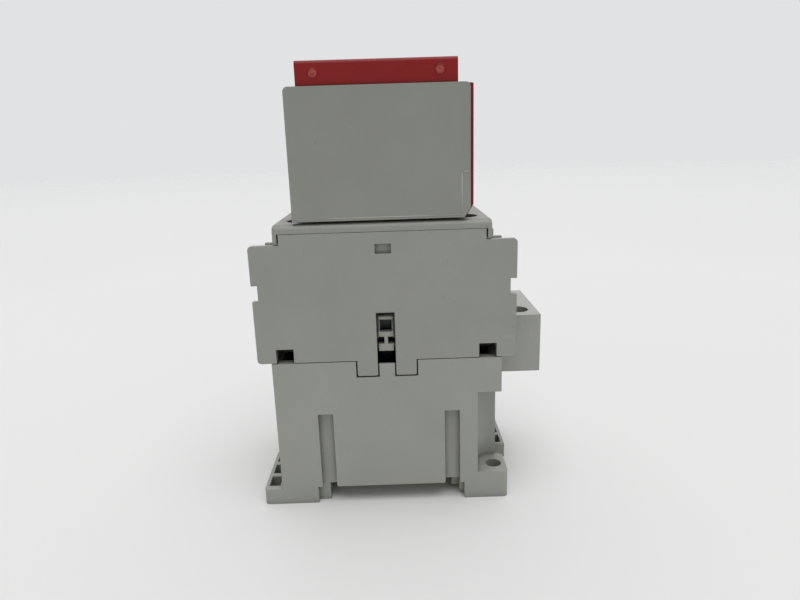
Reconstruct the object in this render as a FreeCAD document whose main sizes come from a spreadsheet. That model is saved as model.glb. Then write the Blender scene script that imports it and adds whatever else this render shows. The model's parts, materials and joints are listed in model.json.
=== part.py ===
import FreeCAD, Part
import math
import os
import Sketcher

# A small-frame three-pole safety contactor with a fixed auxiliary contact block.
# Millimetres. Origin: centre of the two mounting holes, on the rear (mounting) plane.
# +X towards the line side and the coil terminals, +Y across the width, +Z to the front.

SIZES = {
    # shared
    "past": 1.0,              # how far a cutting tool runs past a face
    "gap": 0.1,               # clearance between pieces that fit together
    "slim_gap": 0.05,         # clearance of a strip in its slot, and of a pin in its hole
    "corner": 1.0,            # rounding of the moulded outlines
    "seam_gap": 0.2,          # open seam between the two halves of the housing
    "tab_gap": 0.4,           # play around the tabs, and beside the cover's legs
    "tab_round": 0.5,
    # base housing
    "body_x": 31.3,
    "body_y": 22.5,
    "seam_z": 42.8,
    "end_wall": 2.0,
    "side_wall": 3.0,
    "floor_z": 8.0,
    "rail_seat": 5.0,
    "seat_half": 15.4,        # the flat seat, clear of the lips
    "seat_relief": 0.3,
    "rail_half": 17.7,        # half the recess that takes a 35 mm rail
    "hook_x": 15.9,           # the lips that reach under the rail's edges
    "hook_low": 1.5,
    "hook_high": 3.6,
    "hook_y": 13.5,           # half the length of the fixed lip
    "foot_inner": 21.0,
    "foot_end": 33.5,
    "foot_top": 8.05,
    "foot_round": 6.0,
    "foot_corner": 1.2,
    "hole_x": 30.0,
    "hole_y": 17.5,
    "hole_radius": 2.25,
    "channel_inner": 24.8,
    "channel_round": 5.2,
    "channel_top": 32.7,
    "channel_wall": 1.8,
    "flange_end": 36.5,
    "flange_side": 0.3,
    "flange_top": 4.6,
    "flange_floor": 1.2,
    "flange_rim": 1.0,
    "flange_pocket": 5.1,
    "flange_pitch": 6.9,
    "flange_first": 15.2,
    "slot_inner": 15.55,
    "slot_outer": 19.75,
    "slot_depth": 1.8,
    "slot_top": 27.5,
    "slot_floor": 5.6,
    "slot_hollow": 3.0,
    "panel_low": 11.0,
    "panel_top": 31.0,
    "panel_first": 9.5,
    "panel_pitch": 9.2,
    "panel_width": 7.4,
    "panel_depth": 0.6,
    "tab_inner": 2.5,
    "tab_outer": 8.05,
    "tab_low": 38.6,
    "tab_notch": 1.9,
    "tongue_top": 42.0,
    "tongue_lip": 0.7,        # what is left of the wall in front of the well behind the catch
    "well_floor": 41.0,
    "spring_post": 2.6,
    "spring_foot": 24.0,
    # rail latch
    "latch_bar": 3.3,
    "latch_bar_y": 13.5,
    "latch_room": 0.8,
    "latch_top": 4.0,
    "latch_travel": 3.0,
    "stem_end": 36.0,
    "stem_low": 1.0,
    "stem_high": 3.6,
    "stem_near": 1.5,
    "stem_far": 10.5,
    "tongue_out": 0.6,
    "tongue_low": 2.1,
    "tongue_high": 2.9,
    "window_far": 31.2,
    "window_near": 24.0,
    "window_side": 1.8,
    "rib_far": 31.0,
    "rib_near": 30.0,
    "pull_far": 35.0,
    "pull_near": 33.0,
    "pull_side": 2.0,
    "latch_coil": 1.0,
    "latch_wire": 0.2,
    # contact housing
    "block_x": 27.2,
    "ledge_x": 31.2,
    "ledge_top": 52.4,
    "top_z": 78.0,
    "wing_x": 35.0,
    "wing_top": 75.2,
    "wing_step": 27.3,
    "wing_notch_x": 33.35,
    "wing_notch_low": 60.3,
    "wing_notch_high": 64.7,
    "wing_wall": 1.75,
    "slot_z": 56.4,           # top of the centre slot in each side
    "port_inner": 25.1,
    "port_outer": 29.85,
    "port_top": 46.9,
    "port_room_inner": 24.6,
    "port_room_outer": 30.4,
    "port_room_y": 13.0,
    "dimple_half": 2.1,
    "dimple_low": 72.3,
    "dimple_high": 74.9,
    "dimple_depth": 1.0,
    "barrier_x": 33.4,
    "barrier_low": 52.5,
    "barrier_top": 73.7,
    "pole_pitch": 14.375,
    "chamber_half": 6.3,
    "chamber_floor": 50.0,
    "space_x": 25.7,          # room for the carrier's yoke under the floor
    "space_y": 19.5,
    "space_top": 48.3,
    "arc_x": 14.2,
    "clamp_inner": 16.0,
    "clamp_outer": 25.7,
    "entry_half": 4.6,
    "entry_low": 55.0,
    "entry_high": 60.0,
    "mouth": 0.6,             # flare around every wire entry
    "niche_back": 19.2,
    "niche_wall": 18.6,
    "niche_x": 4.0,
    "niche_top": 58.4,
    "niche_window": 53.7,     # top of the opening behind the catch
    "niche_side": 2.0,
    "carrier_slot_x": 4.9,
    "carrier_slot_y": 18.25,
    "carrier_slot_top": 76.5,
    # housing catches
    "catch_x": 2.05,
    "catch_out": 21.4,
    "catch_in": 19.45,
    "catch_eye": 1.6,         # half the opening between the catch's head and its bead
    "pivot_y": 20.8,          # the catch bends about this line
    "pivot_z": 54.6,
    "pivot_radius": 0.6,
    "groove_z": 52.35,
    "groove_radius": 1.5,
    "bead_z": 49.85,
    "bead_radius": 0.85,
    "catch_pocket": 47.3,
    "catch_low": 45.3,
    "catch_stem": 0.5,
    "web_low": 45.5,
    "web_top": 46.8,
    "leg_near": 2.7,
    "leg_far": 4.2,
    "leg_out": 19.4,
    "leg_in": 18.7,
    "leg_low": 39.6,
    "nub_out": 19.8,
    "nub_high": 40.5,
    "nub_room": 0.5,
    "nub_play": 0.3,
    # front cover
    "cover_x": 28.5,
    "cover_low": 78.1,
    "cover_top": 80.5,
    "cover_leg": 75.6,
    "cover_round": 1.9,       # along the sides
    "cover_end": 0.9,         # along the ends
    "screw_hole": 4.2,
    "cover_window": 4.2,
    # magnet
    "pad_top": 9.95,
    "pad_inner": 8.0,
    "pad_outer": 19.0,
    "core_low": 10.0,
    "core_back": 16.0,
    "core_top": 26.0,
    "core_x": 20.0,
    "core_y": 8.0,
    "leg_inner": 14.0,
    "centre_leg": 6.0,
    "ring_inner": 16.8,
    "ring_band": 1.2,
    "ring_outer": 20.8,
    "ring_side": 9.0,
    "ring_low": 24.4,
    "ring_high": 25.6,
    "travel": 5.5,
    "arm_back": 37.7,
    "arm_top": 43.7,
    "pin_radius": 1.5,
    "pin_z": 40.7,
    "pin_half": 9.4,
    # coil
    "bobbin_low": 16.3,
    "bobbin_high": 32.0,
    "bobbin_x": 13.5,
    "bobbin_y": 16.0,
    "bobbin_hole_x": 6.3,
    "bobbin_hole_y": 8.3,
    "bobbin_wall": 1.0,
    "bobbin_flange": 1.2,
    "winding_x": 12.9,
    "winding_y": 15.4,
    "lead_y": 9.7,
    "lead_width": 2.0,
    "lead_start": 11.5,
    "lead_low": 36.0,
    "lead_high": 37.0,
    "lead_end": 34.6,
    "coil_in": 31.4,
    "coil_out": 43.6,
    "coil_y": 14.3,
    "coil_low": 35.3,
    "coil_high": 52.1,
    "coil_arm_in": 26.0,
    "coil_arm_y": 12.3,
    "coil_arm_low": 35.4,
    "coil_arm_high": 38.2,
    "coil_room_in": 33.4,
    "coil_room_out": 42.5,
    "coil_room_low": 38.4,
    "coil_room_high": 50.2,
    "coil_room_half": 5.3,
    "coil_screw_x": 38.0,
    "coil_screw_y": 8.2,
    "coil_hole": 3.2,
    "coil_strip_low": 42.4,
    "coil_strip_high": 43.4,
    "coil_strip_half": 2.6,
    "coil_strip_end": 41.8,
    "coil_entry_low": 39.4,
    "coil_entry_half": 3.0,
    # carrier and moving contacts
    "yoke_x": 25.4,
    "yoke_y": 9.5,
    "yoke_low": 43.8,
    "yoke_high": 47.3,
    "lug_x": 4.0,
    "lug_inner": 8.1,
    "lug_low": 38.4,
    "bar_x": 4.6,
    "bar_y": 18.0,
    "bar_top": 71.5,
    "column": 3.0,
    "column_top": 79.5,
    "bridge_x": 12.5,
    "bridge_y": 2.5,
    "bridge_low": 61.8,
    "bridge_high": 63.0,
    "tip_inner": 9.0,
    "tip_outer": 12.0,
    "tip_height": 0.8,
    "window_half": 2.7,
    "window_top": 69.5,
    "return_x": 23.2,
    "return_coil": 1.9,
    "return_wire": 0.3,
    "contact_coil": 1.5,
    "contact_wire": 0.25,
    "spring_pitch": 1.7,
    # main terminals
    "strip_half": 4.0,
    "strip_inner": 8.6,
    "strip_low": 55.0,
    "strip_thick": 1.2,
    "strip_step": 16.1,
    "strip_high": 60.0,
    "strip_end": 25.4,
    "fixed_tip_half": 2.6,
    "fixed_tip_top": 56.98,
    "screw_x": 21.3,
    "screw_radius": 2.0,
    "head_radius": 3.5,
    "cage_x": 3.3,
    "cage_y": 5.5,
    "cage_wall": 1.1,
    "cage_low": 54.8,
    "cage_floor": 56.0,
    "cage_roof": 61.4,
    "cage_top": 64.0,
    "head_low": 67.8,
    "head_high": 70.3,
    "slit_half": 0.4,
    "slit_depth": 1.4,
    "slit_reach": 0.7,        # of the head's radius
    # coil terminals
    "coil_screw_radius": 1.5,
    "coil_head_radius": 2.7,
    "coil_cage_x": 3.0,
    "coil_cage_y": 4.2,
    "coil_cage_low": 38.7,
    "coil_cage_floor": 39.9,
    "coil_cage_roof": 43.6,
    "coil_cage_top": 45.4,
    "coil_head_low": 47.8,
    "coil_head_high": 49.6,
    # arc splitters
    "plate_low": 65.0,
    "plate_pitch": 2.2,
    "plate_thick": 0.8,
    "plate_inner": 6.0,
    "plate_outer": 14.1,
    "plate_half": 6.2,
    # auxiliary block
    "aux_low": 81.6,
    "aux_high": 113.9,
    "aux_left": 22.7,
    "aux_right": 23.85,
    "aux_y": 20.4,
    "aux_room_x": 19.0,
    "aux_room_y": 18.9,
    "aux_floor": 83.2,
    "aux_pitch": 10.0,
    "aux_rib": 0.6,
    "aux_slot": 4.0,
    "aux_rib_top": 112.5,
    "aux_entry_low": 98.6,
    "aux_entry_high": 103.0,
    "aux_entry_half": 3.2,
    "clip_inner": 8.0,
    "clip_outer": 9.6,
    "clip_half": 3.0,
    "clip_low": 76.6,
    "clip_lip": 10.6,
    "plate_out": 22.0,
    "plate_left": 23.0,
    "plate_right": 22.9,
    "plate_bottom": 81.0,
    "plate_top": 114.0,
    "plate_chamfer": 1.6,
    "plate_chamfer_z": 2.5,
    "plate_round": 1.2,
    # auxiliary cap
    "cap_x": 19.9,
    "cap_y": 21.4,
    "cap_low": 114.05,
    "cap_high": 120.0,
    "cap_wall": 1.4,
    "cap_round": 1.0,
    "stake_x": 15.5,
    "stake_z": 117.0,
    "stake_radius": 1.25,
    "stake_proud": 0.15,
    "aux_screw_x": 15.0,
    "aux_hole": 2.8,
    "aux_window_x": 2.5,
    "aux_window_y": 3.0,
    "label_x": 9.0,
    "label_near": 6.0,
    "label_far": 18.0,
    "label_depth": 0.5,
    # auxiliary contacts
    "slider_x": 3.5,
    "slider_y": 17.9,
    "slider_foot": 2.8,
    "slider_start": 79.6,
    "slider_low": 90.0,
    "slider_high": 107.5,
    "flag_x": 2.0,
    "flag_y": 2.5,
    "flag_top": 118.5,
    "aux_bridge_x": 9.2,
    "aux_bridge_y": 1.8,
    "aux_bridge_thick": 0.8,
    "aux_tip": 0.58,
    "aux_tip_inner": 7.0,
    "aux_tip_outer": 9.0,
    "make_low": 97.0,
    "make_window_top": 103.0,
    "break_low": 98.6,
    "break_window_low": 93.4,
    "aux_window_half": 2.0,
    "aux_strip_start": 6.6,
    "aux_strip_step": 10.6,
    "aux_strip_end": 18.6,
    "aux_strip_half": 2.2,
    "aux_strip_thick": 0.8,
    "make_strip": 91.6,
    "break_strip": 100.0,
    "aux_strip_high": 103.0,
    "aux_screw_radius": 1.5,
    "aux_head_radius": 2.4,
    "aux_cage_x": 2.9,
    "aux_cage_y": 3.6,
    "aux_cage_low": 97.8,
    "aux_cage_floor": 98.6,
    "aux_cage_roof": 104.0,
    "aux_cage_top": 105.6,
    "aux_head_low": 107.8,
    "aux_head_high": 109.6,
    "aux_coil": 1.1,
    "aux_wire": 0.2,
    "aux_spring_pitch": 1.2,
}


class Size:
    """A length that carries its value and the sheet formula it comes from."""

    def __init__(self, value, formula):
        self.value = float(value)
        self.formula = formula

    def __add__(self, other):
        other = sized(other)
        return Size(self.value + other.value, f"({self.formula} + {other.formula})")

    def __sub__(self, other):
        other = sized(other)
        return Size(self.value - other.value, f"({self.formula} - {other.formula})")

    def __mul__(self, other):
        other = sized(other)
        return Size(self.value * other.value, f"({self.formula} * {other.formula})")

    def __truediv__(self, other):
        other = sized(other)
        return Size(self.value / other.value, f"({self.formula} / {other.formula})")

    def __neg__(self):
        return Size(-self.value, f"(-{self.formula})")

    def __radd__(self, other):
        return sized(other) + self

    def __rsub__(self, other):
        return sized(other) - self

    def __rmul__(self, other):
        return sized(other) * self


class Sheet:
    """The driving dimensions, read as attributes."""

    def __getattr__(self, name):
        return Size(SIZES[name], f"sizes.{name}")


def sized(amount):
    """Turns a plain number into a Size, and leaves a Size alone."""
    if isinstance(amount, Size):
        return amount
    return Size(amount, str(amount))


s = Sheet()
doc = FreeCAD.newDocument("contactor")
NODES = []
SIDES = (1, -1)
POLES = (-1, 0, 1)
AUX_ROWS = (-1.5, -0.5, 0.5, 1.5)
THREE = range(3)
CLOSE = 0.01
ALONG = {
    "x": FreeCAD.Rotation(FreeCAD.Vector(0, 1, 0), 90),
    "y": FreeCAD.Rotation(FreeCAD.Vector(1, 0, 0), -90),
    "z": FreeCAD.Rotation(),
}


def make_sheet():
    """Writes every driving dimension to the spreadsheet, one aliased cell each."""
    sheet = doc.addObject("Spreadsheet::Sheet", "sizes")
    for row, (name, value) in enumerate(SIZES.items(), start=1):
        sheet.set(f"A{row}", name)
        sheet.set(f"B{row}", str(value))
        sheet.setAlias(f"B{row}", name)
    doc.recompute()


def bind(item, prop, amount):
    item.setExpression(prop, sized(amount).formula)


def move(item, x, y, z):
    for axis, amount in zip("xyz", (x, y, z)):
        bind(item, f"Placement.Base.{axis}", amount)
    return item


def box(name, x, y, z):
    """A block between a low and a high limit on each axis."""
    block = doc.addObject("Part::Box", name)
    for prop, (low, high) in zip(("Length", "Width", "Height"), (x, y, z)):
        bind(block, prop, sized(high) - low)
    return move(block, x[0], y[0], z[0])


def rod(name, axis, place, radius, length):
    """A cylinder that starts at place and runs along +axis."""
    cylinder = doc.addObject("Part::Cylinder", name)
    bind(cylinder, "Radius", radius)
    bind(cylinder, "Height", length)
    cylinder.Placement = FreeCAD.Placement(FreeCAD.Vector(), ALONG[axis])
    return move(cylinder, *place)


def join(name, items):
    if len(items) == 1:
        return items[0]
    union = doc.addObject("Part::MultiFuse", name)
    union.Shapes = items
    union.Refine = True
    return union


def cut(name, item, tools):
    rest = doc.addObject("Part::Cut", name)
    rest.Base = item
    rest.Tool = join(name + "_tools", tools)
    rest.Refine = True
    return rest


def common(name, one, other):
    shared = doc.addObject("Part::Common", name)
    shared.Base = one
    shared.Tool = other
    return shared


def group(name, items):
    """Separate solids kept together as one sub-part."""
    together = doc.addObject("Part::Compound", name)
    together.Links = items
    return together


def node(name, item):
    """Names an object as a finished sub-part."""
    item.Label = name
    NODES.append(item)
    return item


def flip(limits, side):
    """The same limits on the other side of the origin when side is -1."""
    if side > 0:
        return limits
    return (-sized(limits[1]), -sized(limits[0]))


def about(centre, half):
    return (sized(centre) - half, sized(centre) + half)


def pole_y(row):
    return row * s.pole_pitch


def outline(body, points):
    """A closed sketch in the X-Z plane, each corner tied to the sheet."""
    sketch = body.newObject("Sketcher::SketchObject", body.Name + "_outline")
    plane = [f for f in body.Origin.OriginFeatures if f.Role == "XZ_Plane"][0]
    sketch.AttachmentSupport = [(plane, "")]
    sketch.MapMode = "FlatFace"
    corners = [FreeCAD.Vector(sized(x).value, sized(z).value, 0) for x, z in points]
    for here, there in zip(corners, corners[1:] + corners[:1]):
        sketch.addGeometry(Part.LineSegment(here, there), False)
    for i in range(len(points)):
        after = (i + 1) % len(points)
        sketch.addConstraint(Sketcher.Constraint("Coincident", i, 2, after, 1))
    for i, (x, z) in enumerate(points):
        for kind, amount in (("DistanceX", x), ("DistanceY", z)):
            value = sized(amount).value
            place = sketch.addConstraint(Sketcher.Constraint(kind, -1, 1, i, 1, value))
            sketch.setExpression(f"Constraints[{place}]", sized(amount).formula)
    return sketch


def padded(name, points, width, middle_y=0):
    """A PartDesign body: an X-Z outline padded evenly to both sides of middle_y."""
    body = doc.addObject("PartDesign::Body", name)
    pad = body.newObject("PartDesign::Pad", name + "_pad")
    pad.Profile = outline(body, points)
    bind(pad, "Length", width)
    pad.Midplane = True
    bind(body, "Placement.Base.y", middle_y)
    return body


def dress(body, kind, prop, size, wanted):
    """Rounds or bevels the edges of a body that wanted(edge) picks."""
    doc.recompute()
    last = body.Tip
    names = [f"Edge{i}" for i, edge in enumerate(last.Shape.Edges, 1) if wanted(edge)]
    if not names:
        raise RuntimeError(body.Name + " has no edge to dress")
    feature = body.newObject("PartDesign::" + kind, body.Name + "_" + kind.lower())
    feature.Base = (last, names)
    bind(feature, prop, size)
    return body


def runs(edge, axis):
    """True for a straight edge that runs along the x, y or z axis."""
    ends = [vertex.Point for vertex in edge.Vertexes]
    if len(ends) != 2:
        return False
    way = (ends[0] - ends[1]).normalize()
    return abs(abs(getattr(way, axis)) - 1) < CLOSE


def at_height(edge, height):
    return all(abs(vertex.Point.z - height.value) < CLOSE for vertex in edge.Vertexes)


def corner_at(spots):
    """A test for crosswise edges at the given X-Z places."""
    places = [(sized(x).value, sized(z).value) for x, z in spots]

    def wanted(edge):
        if not runs(edge, "y"):
            return False
        point = edge.Vertexes[0].Point
        return any(math.hypot(point.x - x, point.z - z) < CLOSE for x, z in places)

    return wanted


def coil_spring(name, axis, place, coil, wire, length, pitch):
    """A round wire swept along a helix that starts at place and runs along +axis."""
    helix = doc.addObject("Part::Helix", name + "_helix")
    bind(helix, "Radius", coil)
    bind(helix, "Pitch", pitch)
    bind(helix, "Height", sized(length) - 2 * wire)
    section = doc.addObject("Part::Circle", name + "_wire")
    bind(section, "Radius", wire)
    section.Placement = FreeCAD.Placement(FreeCAD.Vector(), ALONG["y"])
    bind(section, "Placement.Base.x", coil)
    sweep = doc.addObject("Part::Sweep", name)
    sweep.Sections = [section]
    sweep.Spine = (helix, [])
    sweep.Solid = True
    sweep.Frenet = True
    sweep.Placement = FreeCAD.Placement(FreeCAD.Vector(), ALONG[axis])
    spot = [sized(amount) for amount in place]
    spot["xyz".index(axis)] = spot["xyz".index(axis)] + wire
    return move(sweep, *spot)


# ---------------------------------------------------------------- base housing


def mounting_foot(side):
    """A corner foot with a rounded back, turned half a turn for the other corner."""
    block = box(
        "foot_block",
        flip((s.foot_inner, s.foot_end), side),
        flip((-s.body_y, -s.hole_y), side),
        (0, s.foot_top),
    )
    arch = rod("foot_arch", "z", (side * s.hole_x, -side * s.hole_y, 0), s.foot_round, s.foot_top)
    trim = box(
        "foot_trim",
        flip((s.channel_inner, s.foot_end), side),
        flip((-s.body_y, -s.hole_y + s.foot_round + s.past), side),
        (0, s.foot_top),
    )
    return [block, common("foot_back", arch, trim)]


def screw_channel(side, grown=0, top=None):
    """The open corner above a foot that lets a screwdriver reach the mounting screw."""
    radius = s.channel_round + grown
    low = s.foot_top if top is None else s.floor_z - s.past
    high = s.channel_top if top is None else top
    inner = sized(s.channel_inner) - grown
    height = (low, high)
    outside = (-s.body_y - s.past, -s.hole_y)
    return [
        box("channel_front", flip((inner, s.flange_end), side), flip(outside, side), height),
        rod("channel_arch", "z", (side * s.hole_x, -side * s.hole_y, low), radius, high - low),
        box(
            "channel_side",
            flip((s.hole_x, s.flange_end), side),
            flip((-s.hole_y - s.past, -s.hole_y + radius), side),
            height,
        ),
    ]


def end_flange(side):
    """A low flange beside the other foot, to be hollowed by flange_pockets."""
    return box(
        "flange",
        flip((-s.flange_end, -s.body_x + s.past), side),
        flip((-s.body_y, -s.flange_side), side),
        (0, s.flange_top),
    )


def corner_waste(reach, top, end, side):
    """What rounding the upright corner of a foot takes away, for use as a tool."""
    away = s.foot_corner
    x = flip((reach - away, reach + s.past), end)
    y = flip((-s.body_y - s.past, -s.body_y + away), side)
    square = box("corner_square", x, y, (-s.past, top + s.past))
    spot = (end * (reach - away), -side * (s.body_y - away), -s.past)
    return cut("corner_waste", square, [rod("corner_round", "z", spot, away, top + 2 * s.past)])


def end_panels(side):
    """Shallow panels that lighten the end wall."""
    panels = []
    for row in THREE:
        low = -s.panel_first + row * s.panel_pitch
        panels.append(
            box(
                "end_panel",
                flip((s.body_x - s.panel_depth, s.body_x + s.past), side),
                flip((low, low + s.panel_width), side),
                (s.panel_low, s.panel_top),
            )
        )
    return panels


def flange_pockets(side):
    pockets = []
    for row in THREE:
        low = -s.flange_first - s.flange_pocket + row * s.flange_pitch
        pockets.append(
            box(
                "flange_pocket",
                flip((-s.flange_end + s.flange_rim, -s.body_x - s.flange_rim), side),
                flip((low, low + s.flange_pocket), side),
                (s.flange_floor, s.flange_top + s.past),
            )
        )
    return pockets


def wall_recesses(side):
    """Guide slots, tab notches and the open foot of one long side wall."""
    out = s.body_y + s.past
    slot_y = flip((s.body_y - s.slot_depth, out), side)
    notch_y = flip((s.body_y - s.tab_notch, out), side)
    tools = [
        box("wall_foot", about(0, s.foot_inner), slot_y, (-s.past, s.rail_seat)),
        box(
            "tongue_notch",
            about(0, s.tab_inner),
            notch_y,
            (s.tongue_top, s.seam_z + s.past),
        ),
        box(
            "tongue_well",
            about(0, s.tab_inner),
            flip((s.body_y - s.side_wall - s.past, s.body_y - s.tongue_lip), side),
            (s.well_floor, s.seam_z + s.past),
        ),
        box(
            "slot_hollow",
            flip((s.slot_inner, s.slot_outer), -side),
            flip((s.body_y - s.slot_depth - s.slot_hollow, out), side),
            (-s.past, s.slot_floor),
        ),
    ]
    for end in SIDES:
        slot_x = flip((s.slot_inner, s.slot_outer), end)
        tools.append(box("wall_slot", slot_x, slot_y, (-s.past, s.slot_top)))
        tab_x = flip((s.tab_inner - s.tab_gap, s.tab_outer + s.tab_gap), end)
        notch_z = (s.tab_low - s.tab_gap, s.seam_z + s.past)
        tools.append(box("tab_notch", tab_x, notch_y, notch_z))
    return tools


def rail_recess():
    """The channel for the rail, with a fixed lip left on the line side."""
    out = about(0, s.body_y + s.past)
    relief_z = (s.hook_high, s.rail_seat + s.seat_relief)
    tools = []
    for side in SIDES:
        tools.append(box("seat_relief", flip((s.seat_half, s.rail_half), side), out, relief_z))
        hook_end = flip((s.hook_y, s.body_y + s.past), side)
        tools.append(box("hook_end", (s.hook_x, s.rail_half), hook_end, (-s.past, s.rail_seat)))
    return tools + [
        box("rail_channel", (-s.rail_half, s.hook_x), out, (-s.past, s.rail_seat)),
        box("rail_lead", (s.hook_x, s.foot_inner), out, (-s.past, s.hook_low)),
    ]


def latch_guide():
    """The grooved channel in which the rail latch slides."""
    bar_end = -s.foot_inner - s.latch_travel - s.latch_room
    under = (-s.past, s.latch_top + 2 * s.gap)
    stem_y = (s.stem_near - s.gap, s.stem_far + s.gap)
    groove_y = (s.stem_near - s.tongue_out - s.gap, s.stem_far + s.tongue_out + s.gap)
    return [
        box("bar_pocket", (bar_end, -s.rail_half), about(0, s.latch_bar_y + 2 * s.gap), under),
        box("stem_channel", (-s.flange_end - s.past, -s.foot_inner), stem_y, under),
        box(
            "stem_groove",
            (-s.flange_end - s.past, -s.foot_inner),
            groove_y,
            (s.tongue_low - s.gap, s.tongue_high + s.gap),
        ),
    ]


def base_cavity():
    """The magnet chamber, kept clear of the two screw channels."""
    room = box(
        "cavity",
        about(0, s.body_x - s.end_wall),
        about(0, s.body_y - s.side_wall),
        (s.floor_z, s.seam_z + s.past),
    )
    keep = []
    for side in SIDES:
        keep += screw_channel(side, s.channel_wall, s.channel_top + s.channel_wall)
    return cut("cavity_room", room, keep)


def base_housing():
    solids = [
        box("base_block", about(0, s.body_x), about(0, s.body_y), (0, s.seam_z)),
    ]
    tools = [base_cavity()] + rail_recess() + latch_guide()
    tools.append(
        box(
            "coil_notch",
            (s.body_x - s.end_wall - s.past, s.body_x + s.past),
            about(0, s.coil_arm_y + s.gap),
            (s.coil_low, s.seam_z + s.past),
        )
    )
    for side in SIDES:
        solids += mounting_foot(side) + [end_flange(side)]
        tools += screw_channel(side) + flange_pockets(side) + wall_recesses(side)
        tools += end_panels(side)
        tools.append(corner_waste(s.foot_end, s.foot_top, side, side))
        tools.append(corner_waste(s.flange_end, s.flange_top, -side, side))
        spot = (side * s.hole_x, -side * s.hole_y, -s.past)
        tools.append(rod("mount_hole", "z", spot, s.hole_radius, s.foot_top + 2 * s.past))
        tools.append(
            box(
                "nub_hole",
                about(0, s.leg_far + s.gap),
                flip((s.leg_out, s.nub_out + s.nub_room), side),
                (s.leg_low - s.nub_play, s.nub_high + s.nub_play),
            )
        )
    shell = cut("base_shell", join("base_solids", solids), tools)
    extras = [shell]
    for side in SIDES:
        spot = (side * s.return_x, 0, s.floor_z - s.gap)
        height = s.spring_foot - s.floor_z + s.gap
        extras.append(rod("spring_post", "z", spot, s.spring_post, height))
    middle = (s.stem_near + s.stem_far) / 2
    rib_z = (s.stem_low, s.latch_top + 3 * s.gap)
    rib_y = about(middle, s.window_side - 2 * s.gap)
    extras.append(box("latch_rib", (-s.rib_far, -s.rib_near), rib_y, rib_z))
    node("base_housing", join("base_whole", extras))


def rail_latch():
    """A sprung slider whose lip grips the rail's load-side edge."""
    middle = (s.stem_near + s.stem_far) / 2
    bar_y = about(0, s.latch_bar_y)
    stem_x = (-s.stem_end, -s.foot_inner + s.past)
    solids = [
        box("latch_cross", (-s.rail_half - s.latch_bar, -s.rail_half), bar_y, (s.hook_low, s.latch_top)),
        box("latch_lip", (-s.rail_half - s.past, -s.hook_x), bar_y, (s.hook_low, s.hook_high)),
        box("latch_stem", stem_x, (s.stem_near, s.stem_far), (s.stem_low, s.stem_high)),
        box(
            "latch_tongues",
            (-s.stem_end, -s.foot_inner - s.latch_travel - s.past),
            (s.stem_near - s.tongue_out, s.stem_far + s.tongue_out),
            (s.tongue_low, s.tongue_high),
        ),
    ]
    through = (0, s.latch_top + s.past)
    tools = [
        box("latch_window", (-s.window_far, -s.window_near), about(middle, s.window_side), through),
        box("pull_slot", (-s.pull_far, -s.pull_near), about(middle, s.pull_side), through),
    ]
    node("rail_latch", cut("latch", join("latch_solids", solids), tools))
    spot = (-s.rib_near + s.slim_gap, middle, (s.stem_low + s.stem_high) / 2)
    length = s.rib_near - s.window_near - 2 * s.slim_gap
    spring = coil_spring("latch_spring", "x", spot, s.latch_coil, s.latch_wire, length, s.latch_coil)
    node("rail_latch_spring", spring)


# ------------------------------------------------------------- contact housing


def side_plate_points():
    """The side of the contact housing: wings, tabs, centre slot and edge notches."""
    foot = s.seam_z + s.seam_gap
    step = s.wing_step - s.tab_gap
    half = [
        (s.tab_inner, s.slot_z),
        (s.tab_inner, s.tab_low),
        (s.tab_outer, s.tab_low),
        (s.tab_outer, foot),
        (s.wing_x, foot),
        (s.wing_x, s.wing_notch_low),
        (s.wing_notch_x, s.wing_notch_low),
        (s.wing_notch_x, s.wing_notch_high),
        (s.wing_x, s.wing_notch_high),
        (s.wing_x, s.wing_top),
        (step, s.wing_top),
        (step, s.top_z),
    ]
    return half + [(-x, z) for x, z in reversed(half)]


def side_plate(side):
    middle = side * (s.body_y - s.wing_wall / 2)
    plate = padded("housing_side", side_plate_points(), s.wing_wall, middle)
    wings = []
    tabs = []
    for end in SIDES:
        wings.append((end * s.wing_x, s.seam_z + s.seam_gap))
        wings.append((end * s.wing_x, s.wing_top))
        tabs.append((end * s.tab_inner, s.tab_low))
        tabs.append((end * s.tab_outer, s.tab_low))
    dress(plate, "Fillet", "Radius", s.corner, corner_at(wings))
    dress(plate, "Fillet", "Radius", s.tab_round, corner_at(tabs))
    return plate


def pole_rooms(row):
    """The spaces of one pole: arc chamber, clamp rooms, wire entries, strip slots."""
    y = about(pole_y(row), s.chamber_half)
    high = s.top_z + s.past
    rooms = [box("arc_room", about(0, s.arc_x), y, (s.chamber_floor, high))]
    for side in SIDES:
        clamp_x = flip((s.clamp_inner, s.clamp_outer), side)
        rooms.append(box("clamp_room", clamp_x, y, (s.chamber_floor, high)))
        rooms.append(
            box(
                "wire_entry",
                flip((s.clamp_outer - s.past, s.block_x + s.past), side),
                about(pole_y(row), s.entry_half),
                (s.entry_low, s.entry_high),
            )
        )
        rooms.append(
            box(
                "wire_mouth",
                flip((s.block_x - s.mouth, s.block_x + s.past), side),
                about(pole_y(row), s.entry_half + s.mouth),
                (s.entry_low - s.mouth, s.entry_high + s.mouth),
            )
        )
        rooms.append(
            box(
                "strip_slot",
                flip((s.arc_x - s.past, s.clamp_inner + s.past), side),
                about(pole_y(row), s.strip_half + s.slim_gap),
                (s.strip_low - s.slim_gap, s.strip_low + s.strip_thick + s.slim_gap),
            )
        )
    return rooms


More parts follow.
